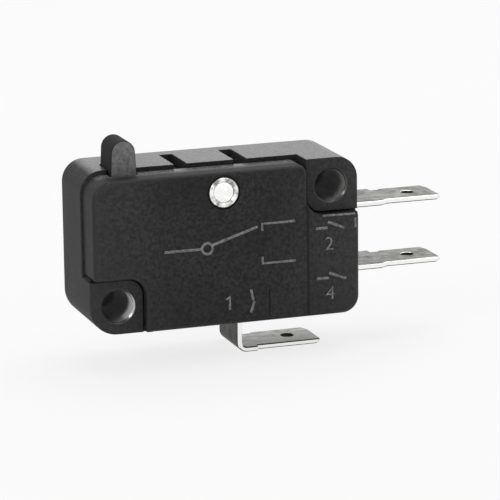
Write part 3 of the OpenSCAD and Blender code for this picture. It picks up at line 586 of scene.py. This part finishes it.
class SwitchTones(bpy.types.PropertyGroup):
    """Colours of the finishes, as sRGB hex."""

    moulding_dark: bpy.props.StringProperty(
        name="Moulding, dark", description="Darker tone of the body's moulding", default="#121212")
    moulding_light: bpy.props.StringProperty(
        name="Moulding, light", description="Lighter tone of the body's moulding", default="#484848")
    moulding_edge: bpy.props.StringProperty(
        name="Moulding, edges", description="Rubbed tone along the moulding's edges", default="#2e2e2e")
    seam: bpy.props.StringProperty(
        name="Insert's seam", description="Tone of the fine seam on the cover's face", default="#060606")
    # Tones of the top: partly dust, partly painted light
    top_dark: bpy.props.StringProperty(
        name="Top, dark", description="Darker tone of the dusty top", default="#3a3a3a")
    top_light: bpy.props.StringProperty(
        name="Top, light", description="Lighter tone of the dusty top", default="#808080")
    bore_dark: bpy.props.StringProperty(
        name="Hole's wall, dark", description="Darker tone of a bare hole's wall", default="#464646")
    bore_light: bpy.props.StringProperty(
        name="Hole's wall, light", description="Lighter tone of a bare hole's wall", default="#5c5c5c")
    # Tones of the painted light on the right of a hole's wall
    lit_wall_dark: bpy.props.StringProperty(
        name="Hole's dust, dark", description="Darker tone of the dust in a hole", default="#a0a0a0")
    lit_wall_light: bpy.props.StringProperty(
        name="Hole's dust, light", description="Lighter tone of the dust in a hole", default="#c8c8c8")
    # Tones of the painted highlight near a hole's mouth, dimmer at the upper hole as painted shade
    highlight_lower: bpy.props.StringProperty(
        name="Lower hole, rubbed", description="Rubbed tone in the lower hole", default="#f2f2f0")
    highlight_upper: bpy.props.StringProperty(
        name="Upper hole, rubbed", description="Rubbed tone in the upper hole", default="#8a8a88")
    # Tones of the metal shine at a hole's mouth, a stand-in for its highlight, dimmer at the upper hole as
    # painted shade
    mouth_lower: bpy.props.StringProperty(
        name="Lower hole's mouth", description="Burnished tone of the lower hole's mouth", default="#c4c4c2")
    mouth_upper: bpy.props.StringProperty(
        name="Upper hole's mouth", description="Burnished tone of the upper hole's mouth", default="#484846")
    relief_dark: bpy.props.StringProperty(
        name="Relief, dark", description="Darker tone of the raised marks", default="#565656")
    relief_light: bpy.props.StringProperty(
        name="Relief, light", description="Lighter tone of the raised marks", default="#8e8e8e")
    # The plunger's faces are painted pale as lit, and its sides dark as shaded
    pin_dark: bpy.props.StringProperty(
        name="Pin, dark", description="Darker tone of the plunger's faces", default="#6c6c6c")
    pin_light: bpy.props.StringProperty(
        name="Pin, light", description="Lighter tone of the plunger's faces", default="#949494")
    shade_side_dark: bpy.props.StringProperty(
        name="Pin's sides, dark", description="Darker tone of the plunger's sides", default="#060606")
    shade_side_light: bpy.props.StringProperty(
        name="Pin's sides, light", description="Lighter tone of the plunger's sides", default="#141414")
    tin_dark: bpy.props.StringProperty(
        name="Tin, dark", description="Darker tone of the end tabs' plating", default="#7e7e7c")
    tin_light: bpy.props.StringProperty(
        name="Tin, light", description="Lighter tone of the end tabs' plating", default="#b0b0ad")
    # The common tab's tin is painted paler, as painted light against the shade under the body
    lit_tin_dark: bpy.props.StringProperty(
        name="Fresh tin, dark", description="Darker tone of the common tab's plating", default="#929290")
    lit_tin_light: bpy.props.StringProperty(
        name="Fresh tin, light", description="Lighter tone of the common tab's plating", default="#c6c6c3")
    # Tin painted dark as shade and as a dark reflection
    shade_tin_dark: bpy.props.StringProperty(
        name="Tarnish, dark", description="Darker tone of the tabs' tarnished tin", default="#2c2c2b")
    shade_tin_light: bpy.props.StringProperty(
        name="Tarnish, light", description="Lighter tone of the tabs' tarnished tin", default="#444442")
    edge_dark: bpy.props.StringProperty(
        name="Cut edge, dark", description="Darker tone of the tabs' cut edges", default="#f4f4f2")
    edge_light: bpy.props.StringProperty(
        name="Cut edge, light", description="Lighter tone of the tabs' cut edges", default="#fafaf8")
    rivet_dark: bpy.props.StringProperty(
        name="Rivet, dark", description="Scuffed tone of the hollow rivet", default="#8f8f8d")
    rivet_light: bpy.props.StringProperty(
        name="Rivet, light", description="Bright tone of the hollow rivet", default="#fafaf8")


class SwitchSizes(bpy.types.PropertyGroup):
    """Small sizes that only the looks use."""

    moulding_edge: bpy.props.FloatProperty(
        name="Moulding edge", description="Radius on the mouldings' sharp edges", default=0.08 * MM,
        subtype="DISTANCE", precision=5)
    pin_edge: bpy.props.FloatProperty(
        name="Pin edge", description="Radius on the plunger's sharp edges", default=0.1 * MM,
        subtype="DISTANCE", precision=5)
    tab_edge: bpy.props.FloatProperty(
        name="Tab edge", description="Radius on the stamped tabs' edges", default=0.1 * MM,
        subtype="DISTANCE", precision=5)
    mark_stroke: bpy.props.FloatProperty(
        name="Mark stroke", description="Width of the raised strokes on the cover", default=0.3 * MM,
        subtype="DISTANCE", precision=5)
    # The bead along the cover's edges under the upper boss is a painted highlight
    highlight_bead: bpy.props.FloatProperty(
        name="Corner bead", description="Width of the bead on the cover's rubbed corner", default=0.22 * MM,
        subtype="DISTANCE", precision=5)
    mark_proud: bpy.props.FloatProperty(
        name="Mark height", description="How far the raised strokes stand out", default=0.13 * MM,
        subtype="DISTANCE", precision=5)
    number_height: bpy.props.FloatProperty(
        name="Number height", description="Height of the raised terminal numbers", default=1.35 * MM,
        subtype="DISTANCE", precision=5)


class SWITCH_OT_finishes(bpy.types.Operator):
    """Every finish on the switch"""

    bl_idname = "switch.finishes"
    bl_label = "Finishes"

    def execute(self, context):
        tones = context.scene.switch_tones
        for finish in (
                black_phenolic, dull_bore, lamp_side_mouth, rubbed_relief, grey_pin_resin, nickel_rivet):
            finish(tones)
        # The rivet's bore, drawn over a polished punch: bright, with faint lines along it
        plated_metal(
            DRAWN_NICKEL, tones.edge_light, "#ffffff",
            rough_range=(0.05, 0.1), streak_mm=(0.2, 6.0, 0.2), depth_mm=0.001)
        # Tin plate on rolled brass strip: grey, softly streaked along the strip, duller at a glance, and
        # painted paler on the common terminal, as painted light against the shade under the body
        for name, low, high in (
                (TIN, tones.tin_dark, tones.tin_light), (LIT_TIN, tones.lit_tin_dark, tones.lit_tin_light)):
            plated_metal(
                name, low, high,
                rough_range=(0.26, 0.44), streak_mm=(5.0, 0.2, 0.2), depth_mm=0.004, glance="#c4c4c4")
        # Cut edges of the strip, burnished bright by the punch
        plated_metal(
            CUT_EDGE, tones.edge_dark, tones.edge_light,
            rough_range=(0.2, 0.3), streak_mm=(6.0, 0.3, 0.3), depth_mm=0.001)
        # Tin painted dark: a painted dark reflection on the upright's outer side, and painted shade in the
        # walls of the blades' holes and along some long edges
        plated_metal(
            SHADE_TIN, tones.shade_tin_dark, tones.shade_tin_light,
            rough_range=(0.4, 0.6), streak_mm=(0.4, 0.4, 3.0), depth_mm=0.004)
        # Rolled copper alloy strip of the contact arm: warm, streaked along the roll
        plated_metal(
            COPPER, "#a9744a", "#c58f62",
            rough_range=(0.25, 0.4), streak_mm=(6.0, 0.12, 0.12), depth_mm=0.003)
        # Silver contact faces, slightly matt from coining
        plated_metal(
            SILVER, "#c4c4c0", "#dededa",
            rough_range=(0.28, 0.42), streak_mm=(0.4, 0.4, 0.4), depth_mm=0.003)
        # Drawn steel of the pin, the drive lever and the spring: grey with fine draw lines
        plated_metal(
            STEEL, "#7d7f82", "#9a9c9f",
            rough_range=(0.25, 0.38), streak_mm=(4.0, 0.12, 0.12), depth_mm=0.003)
        return {"FINISHED"}


def in_body(x_mm, depth_mm, z_mm):
    """A point in millimetres from the body's lower left corner, at a depth behind the cover's face."""
    return Vector((CASE_LOW.x + x_mm * MM, COVER_LOW.y + depth_mm * MM, CASE_LOW.z + z_mm * MM))


# Flash that squares the cover's corners beside the bosses and closes the gaps there
COVER_FLASH = (
    (in_body(27.0, 0.15, 9.8), in_body(27.6, 3.0, 10.37)),
    (in_body(26.9, 0.9, 10.2), in_body(27.66, 3.0, 10.48)),
    (in_body(5.53, 0.15, 0.1), in_body(6.2, 3.0, 0.7)),
    (in_body(5.42, 0.9, 0.02), in_body(5.7, 3.0, 0.5)),
)
# How far past its radius a mounting hole's wall and its mouth's chamfer reach, with their eased rims
BORE_RIM = 0.06 * MM
MOUTH_CHAMFER = 0.27 * MM


def hole_surface(face):
    """0 on a moulding's outside, 1 on a mounting hole's wall, 2 on the chamfer round its mouth."""
    for mount in BORES:
        x, _, z = mount["pos_m"]
        past = math.hypot(face.center.x - x, face.center.z - z) - mount["dims"]["r_mm"] * MM
        if past < BORE_RIM and abs(face.normal.y) < 0.5:
            return 1
        if past < MOUTH_CHAMFER and -0.9 < face.normal.y < -0.3:
            return 2
    return 0


class SWITCH_OT_mouldings(bpy.types.Operator):
    """Case and cover with eased edges and a moulded surface"""

    bl_idname = "switch.mouldings"
    bl_label = "Case and cover"

    def execute(self, context):
        edge = context.scene.switch_sizes.moulding_edge
        for node, blocks in (("case", ()), ("cover", COVER_FLASH)):
            piece = eased_copy(node, node + "_moulding", edge, blocks=blocks)
            stand_for(piece, node, "moulding", PHENOLIC, BORE, MOUTH)
            for face in piece.data.polygons:
                face.material_index = hole_surface(face)
        return {"FINISHED"}


class SWITCH_OT_plunger(bpy.types.Operator):
    """The pin plunger with eased edges"""

    bl_idname = "switch.plunger"
    bl_label = "Plunger"

    def execute(self, context):
        edge = context.scene.switch_sizes.pin_edge
        stand_for(eased_copy("plunger", "plunger_pin", edge), "plunger", "plunger", PIN_RESIN)
        return {"FINISHED"}


# The hole in a tab's blade: how far its middle is from the tip, and its radius with the eased rim
TAB_HOLE_TIP = 2.9 * MM
TAB_HOLE_R = 0.72 * MM
# Length of the bevelled tip of a blade
TAB_TIP = 1.0 * MM
# Node, piece and plating of each tab
TABS = (
    ("nc_terminal", "upper_tab", TIN),
    ("no_terminal", "lower_tab", TIN),
    # The common tab's tin is painted paler, as painted light against the shade under the body
    ("common_terminal", "common_tab", LIT_TIN),
)


def tab_surface(face, tip_x, middle_y, bent):
    """0 on a tab's plated faces, 1 on its bright cut edges, 2 on its tin painted dark as shade."""
    way, place = face.normal, face.center
    hole = Vector((tip_x - TAB_HOLE_TIP, middle_y))
    in_hole = (place.xy - hole).length < TAB_HOLE_R and abs(way.z) < 0.9
    # Painted shade lines along two of a blade's long edges, and along all four of the bent tab's
    lean = way.y * way.z
    shade_line = lean > 0.2 or (bent and lean < -0.2)
    if in_hole or shade_line or way.x < -0.8:
        return 2
    at_tip = way.x > 0.6 and place.x > tip_x - TAB_TIP
    return 1 if way.y < -0.2 or way.y > 0.6 or at_tip else 0


class SWITCH_OT_tabs(bpy.types.Operator):
    """The three stamped tabs, plated on their faces and bright on their cut edges"""

    bl_idname = "switch.tabs"
    bl_label = "Tabs"

    def execute(self, context):
        edge = context.scene.switch_sizes.tab_edge
        for node, name, plate in TABS:
            piece = eased_copy(node, name, edge, segments=2)
            stand_for(piece, node, "tinned_brass", plate, CUT_EDGE, SHADE_TIN)
            low, high = (Vector(corner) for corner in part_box(node))
            middle_y = (low.y + high.y) / 2
            for face in piece.data.polygons:
                face.material_index = tab_surface(face, high.x, middle_y, node == "common_terminal")
        return {"FINISHED"}


# The hollow rivet: thickness of its heads, then the radii of its bore, tube, rolled lips and flared bore
RIVET_HEAD = 0.3 * MM
RIVET_BORE = 1.0 * MM
RIVET_TUBE = 1.25 * MM
RIVET_ROLL = 0.13 * MM
RIVET_FLARE = 0.24 * MM


class SWITCH_OT_hollow_rivet(bpy.types.Operator):
    """The hollow rivet, turned with a rolled lip at each end"""

    bl_idname = "switch.hollow_rivet"
    bl_label = "Hollow rivet"

    def execute(self, context):
        axis = (RIVET_LOW + RIVET_HIGH) / 2
        flange = (RIVET_HIGH.x - RIVET_LOW.x) / 2
        front, back = RIVET_LOW.y, RIVET_HIGH.y
        lip = flange - RIVET_ROLL
        throat = RIVET_BORE + RIVET_FLARE
        section = arc((lip, front + RIVET_ROLL), RIVET_ROLL, 0, -90)
        section += arc((throat, front + RIVET_FLARE), RIVET_FLARE, -90, -180)
        section += arc((throat, back - RIVET_FLARE), RIVET_FLARE, 180, 90)
        section += arc((lip, back - RIVET_ROLL), RIVET_ROLL, 90, 0)
        section += [(flange, back - RIVET_HEAD), (RIVET_TUBE, back - RIVET_HEAD)]
        section += [(RIVET_TUBE, front + RIVET_HEAD), (flange, front + RIVET_HEAD)]
        piece = lathe("hollow_rivet", section, axis)
        stand_for(piece, "eyelet", "rivet", NICKEL, DRAWN_NICKEL)
        for face in piece.data.polygons:
            if (face.center - axis).xz.length < RIVET_BORE + 0.1 * RIVET_FLARE:
                face.material_index = 1
        return {"FINISHED"}


# The snap spring: its wire, the radii of its eyes and coils, and how far its axis falls
SPRING_WIRE = 0.25 * MM
SPRING_EYE = 0.5 * MM
SPRING_COIL = 0.75 * MM
SPRING_FALL = 0.75 * MM
# Its turns, the points drawn on each, and the share of its length in which the coils widen at each end
SPRING_TURNS = 12
SPRING_POINTS = 20
SPRING_LEAD = 0.08


def spring_path():
    """Centre line of the snap spring: an eye, its coils on a slanted axis, and an eye."""
    middle = (SPRING_LOW + SPRING_HIGH) / 2
    span = SPRING_HIGH.x - SPRING_LOW.x - 2 * SPRING_EYE - SPRING_WIRE
    slant = Vector((span, 0, -SPRING_FALL))
    along = slant.normalized()
    across = Vector((0, 1, 0))
    up = Vector((-along.z, 0, along.x))
    first = Vector((SPRING_LOW.x + SPRING_EYE + SPRING_WIRE / 2, middle.y, middle.z + SPRING_FALL / 2))
    last = first + slant
    run = slant.length - 2 * SPRING_EYE
    points = [first + a * along + b * up for a, b in arc((0, 0), SPRING_EYE, 30, 360, 16)]
    steps = SPRING_TURNS * SPRING_POINTS
    for i in range(1, steps):
        t = i / steps
        reach = SPRING_COIL * min(1, min(t, 1 - t) / SPRING_LEAD)
        angle = 2 * math.pi * SPRING_TURNS * t
        centre = first + (SPRING_EYE + t * run) * along
        points.append(centre + reach * (math.cos(angle) * across + math.sin(angle) * up))
    points += [last + a * along + b * up for a, b in arc((0, 0), SPRING_EYE, 180, 510, 16)]
    return points


class SWITCH_OT_movement(bpy.types.Operator):
    """Levers, pin, contacts and snap spring inside the body"""

    bl_idname = "switch.movement"
    bl_label = "Movement"

    def execute(self, context):
        slots = {entry["node"]: entry["material_slot"] for entry in frame["record"]["subparts"]}
        for node in (
                "drive_lever", "lever_pin", "contact_lever", "moving_contact", "nc_contact", "no_contact"):
            solid = frame["nodes"][node]
            solid.data.materials.clear()
            solid.data.materials.append(bpy.data.materials[SLOT_FINISHES[slots[node]]])
        spring = round_bar("snap_spring_coil", [spring_path()], SPRING_WIRE, STEEL, sides=10)
        stand_for(spring, "snap_spring", "steel", STEEL)
        return {"FINISHED"}


# Raised strokes on the cover, in millimetres from the body's lower left corner: a plain changeover symbol
# in the middle, a contact symbol by each terminal number, and the common terminal's number 1
CHANGEOVER_STROKES = (
    ((7.4, 8.0), (11.2, 8.0)),
    ((12.3, 8.3), (17.0, 9.75)),
    ((20.9, 10.0), (17.5, 10.0), (17.5, 9.3)),
    ((20.9, 6.0), (17.5, 6.0), (17.5, 6.7)),
)
PIVOT_RING = arc((11.8, 8.0), 0.55, 0, 360, 24)
TERMINAL_STROKES = (
    ((23.1, 9.0), (24.3, 9.0)),
    ((24.35, 9.6), (26.05, 8.9)),
    ((23.15, 3.9), (24.4, 3.9)),
    ((24.45, 4.4), (26.25, 3.7)),
    ((16.25, 3.5), (16.5, 2.35)),
    ((16.6, 2.25), (16.25, 1.15)),
    ((13.7, 2.65), (14.05, 2.95), (14.05, 1.65)),
)
# Painted highlights on the cover under the upper boss: a pale bead along its ledge's edge and one down its
# right edge
HIGHLIGHT_STROKES = (
    ((23.85, 10.24), (27.25, 10.18)),
    ((27.28, 9.8), (27.28, 8.8)),
)
TERMINAL_NUMBERS = (("2", 24.5, 6.75), ("4", 24.6, 1.7))
# A figure's height as a share of the font's size, and its middle's depth as one of the marks' height
FIGURE_HEIGHT = 0.7
FIGURE_SUNK = 0.4
# Its eased rim, and how much thinner its strokes are drawn
FIGURE_RIM = 0.02 * MM
FIGURE_THINNED = 0.03 * MM


class SWITCH_OT_contact_marks(bpy.types.Operator):
    """Raised contact symbols and terminal numbers on the cover"""

    bl_idname = "switch.contact_marks"
    bl_label = "Contact marks"

    def execute(self, context):
        sizes = context.scene.switch_sizes
        depth = (sizes.mark_stroke / 2 - sizes.mark_proud) / MM
        strokes = CHANGEOVER_STROKES + TERMINAL_STROKES + (PIVOT_RING,)
        paths = [[in_body(x, depth, z) for x, z in stroke] for stroke in strokes]
        symbols = round_bar("contact_symbols", paths, sizes.mark_stroke, RELIEF, sides=16)
        settle(symbols, "cover", "moulding", RELIEF)
        # Pale beads on the cover's edges under the upper boss, as painted highlights
        sunk = sizes.highlight_bead / 4 / MM
        rubbed = [[in_body(x, sunk, z) for x, z in stroke] for stroke in HIGHLIGHT_STROKES]
        corner = round_bar("painted_highlight_beads", rubbed, sizes.highlight_bead, RELIEF, sides=12)
        settle(corner, "cover", "moulding", RELIEF)
        settle(raised_numbers("terminal_numbers", sizes), "cover", "moulding", RELIEF)
        return {"FINISHED"}


def raised_numbers(name, sizes):
    """Plain terminal numbers, raised out of the cover, as one mesh."""
    whole = bmesh.new()
    upright = Matrix.Rotation(math.radians(90), 4, "X")
    depth = FIGURE_SUNK * sizes.mark_proud / MM
    for text, x, z in TERMINAL_NUMBERS:
        curve = bpy.data.curves.new(name + "_" + text, "FONT")
        curve.body = text
        curve.align_x = "CENTER"
        curve.size = sizes.number_height / FIGURE_HEIGHT
        curve.extrude = sizes.mark_proud
        curve.bevel_depth = FIGURE_RIM
        curve.bevel_resolution = 2
        curve.offset = -FIGURE_THINNED
        figure = link(bpy.data.objects.new(name + "_" + text, curve))
        figure.matrix_world = Matrix.Translation(in_body(x, depth, z)) @ upright
        figure = flatten(figure)
        whole.from_mesh(figure.data)
        bpy.data.objects.remove(figure)
    bmesh.ops.remove_doubles(whole, verts=whole.verts, dist=SAME_POINT)
    bmesh.ops.recalc_face_normals(whole, faces=whole.faces)
    return make_piece(name, whole)


class SWITCH_OT_stage(bpy.types.Operator):
    """Pale floor, white surroundings, soft lamps and the photograph's camera"""

    bl_idname = "switch.stage"
    bl_label = "Stage"

    def execute(self, context):
        scene = context.scene
        scene.view_settings.view_transform = "Standard"
        lowest, highest = (Vector(corner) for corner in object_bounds())
        middle = (lowest + highest) / 2
        lay_floor(lowest.z - FLOOR_GAP)
        light_world(scene)
        for name, place, size, power in LAMPS:
            soft_lamp(name, middle + Vector(place), middle, size, power)
        aim_camera(scene)
        return {"FINISHED"}


def seen_rays(tree):
    """1 for rays that show the surroundings: from the camera, from gloss and through glass."""
    path = add_node(tree, "ShaderNodeLightPath").outputs
    some = add_node(tree, "ShaderNodeMath", {
        0: path["Is Camera Ray"], 1: path["Is Glossy Ray"]}, operation="MAXIMUM").outputs[0]
    return add_node(tree, "ShaderNodeMath", {
        0: some, 1: path["Is Transmission Ray"]}, operation="MAXIMUM").outputs[0]


def lay_floor(height):
    """A wide pale floor that shows white but keeps the shadow."""
    mesh = bpy.data.meshes.new("floor")
    corners = ((-1, -1), (1, -1), (1, 1), (-1, 1))
    mesh.from_pydata([(FLOOR_HALF * x, FLOOR_HALF * y, height) for x, y in corners], [], [(0, 1, 2, 3)])
    floor = link(bpy.data.objects.new("floor", mesh))
    material = bpy.data.materials.new("pale_floor")
    tree = bare_tree(material)
    matt = add_node(tree, "ShaderNodeBsdfDiffuse", {"Color": "#f4f4f4"})
    white = add_node(tree, "ShaderNodeEmission", {"Color": "#ffffff", "Strength": 1.0})
    share = add_node(tree, "ShaderNodeMath", {0: seen_rays(tree), 1: FLOOR_WHITE}, operation="MULTIPLY")
    both = add_node(tree, "ShaderNodeMixShader", {
        0: share.outputs[0], 1: matt.outputs["BSDF"], 2: white.outputs["Emission"]})
    add_node(tree, "ShaderNodeOutputMaterial", {"Surface": both.outputs["Shader"]})
    mesh.materials.append(material)
    floor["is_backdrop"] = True


def light_world(scene):
    """White surroundings for what is seen, and a softer grey for the light that they give."""
    scene.world = bpy.data.worlds.new("white_studio")
    tree = bare_tree(scene.world)
    fill = add_node(tree, "ShaderNodeBackground", {"Color": "#ffffff", "Strength": WORLD_FILL})
    white = add_node(tree, "ShaderNodeBackground", {"Color": "#ffffff", "Strength": 1.0})
    both = add_node(tree, "ShaderNodeMixShader", {
        0: seen_rays(tree), 1: fill.outputs["Background"], 2: white.outputs["Background"]})
    add_node(tree, "ShaderNodeOutputWorld", {"Surface": both.outputs["Shader"]})


def soft_lamp(name, place, target, size, power):
    """A square soft lamp that faces the switch."""
    light = bpy.data.lights.new(name, "AREA")
    light.size = size
    light.energy = power
    lamp = link(bpy.data.objects.new(name, light))
    aim = (target - place).to_track_quat("-Z", "Y").to_matrix().to_4x4()
    lamp.matrix_world = Matrix.Translation(place) @ aim


def aim_camera(scene):
    """The photograph's viewpoint: a long lens, a little above and to the left, held a little askew."""
    camera = link(bpy.data.objects.new("camera", bpy.data.cameras.new("camera")))
    camera.data.lens = VIEW_LENS
    camera.data.sensor_width = 36
    camera.data.clip_start = 0.01
    camera.data.shift_x, camera.data.shift_y = VIEW_SHIFT
    target = (CASE_LOW + CASE_HIGH) / 2
    target.y = (COVER_LOW.y + CASE_HIGH.y) / 2
    forward = Vector((
        -math.sin(VIEW_AZIMUTH) * math.cos(VIEW_ELEVATION),
        math.cos(VIEW_AZIMUTH) * math.cos(VIEW_ELEVATION),
        -math.sin(VIEW_ELEVATION)))
    aim = forward.to_track_quat("-Z", "Y").to_matrix().to_4x4()
    camera.matrix_world = (
        Matrix.Translation(target - VIEW_DISTANCE * forward) @ aim @ Matrix.Rotation(-VIEW_ROLL, 4, "Z"))
    scene.camera = camera


class SWITCH_PT_panel(bpy.types.Panel):
    """Lists the switch's pieces, sizes and tones"""

    bl_idname = "SWITCH_PT_panel"
    bl_label = "Pin plunger switch"
    bl_space_type = "VIEW_3D"
    bl_region_type = "UI"
    bl_category = "Switch"

    def draw(self, context):
        for operator in OPERATORS:
            self.layout.operator(operator.bl_idname)
        for group in (context.scene.switch_sizes, context.scene.switch_tones):
            for name in group.bl_rna.properties.keys():
                if name not in ("rna_type", "name"):
                    self.layout.prop(group, name)


OPERATORS = (
    SWITCH_OT_finishes, SWITCH_OT_mouldings, SWITCH_OT_plunger, SWITCH_OT_tabs, SWITCH_OT_hollow_rivet,
    SWITCH_OT_movement, SWITCH_OT_contact_marks, SWITCH_OT_stage)
CLASSES = (SwitchTones, SwitchSizes) + OPERATORS + (SWITCH_PT_panel,)


def register():
    for item in CLASSES:
        bpy.utils.register_class(item)
    bpy.types.Scene.switch_tones = bpy.props.PointerProperty(type=SwitchTones)
    bpy.types.Scene.switch_sizes = bpy.props.PointerProperty(type=SwitchSizes)


def unregister():
    del bpy.types.Scene.switch_sizes
    del bpy.types.Scene.switch_tones
    for item in reversed(CLASSES):
        bpy.utils.unregister_class(item)


def main():
    register()
    bpy.ops.switch.finishes()
    bpy.ops.switch.mouldings()
    bpy.ops.switch.plunger()
    bpy.ops.switch.tabs()
    bpy.ops.switch.hollow_rivet()
    bpy.ops.switch.movement()
    bpy.ops.switch.contact_marks()
    bpy.ops.switch.stage()


if __name__ == "__main__":
    main()
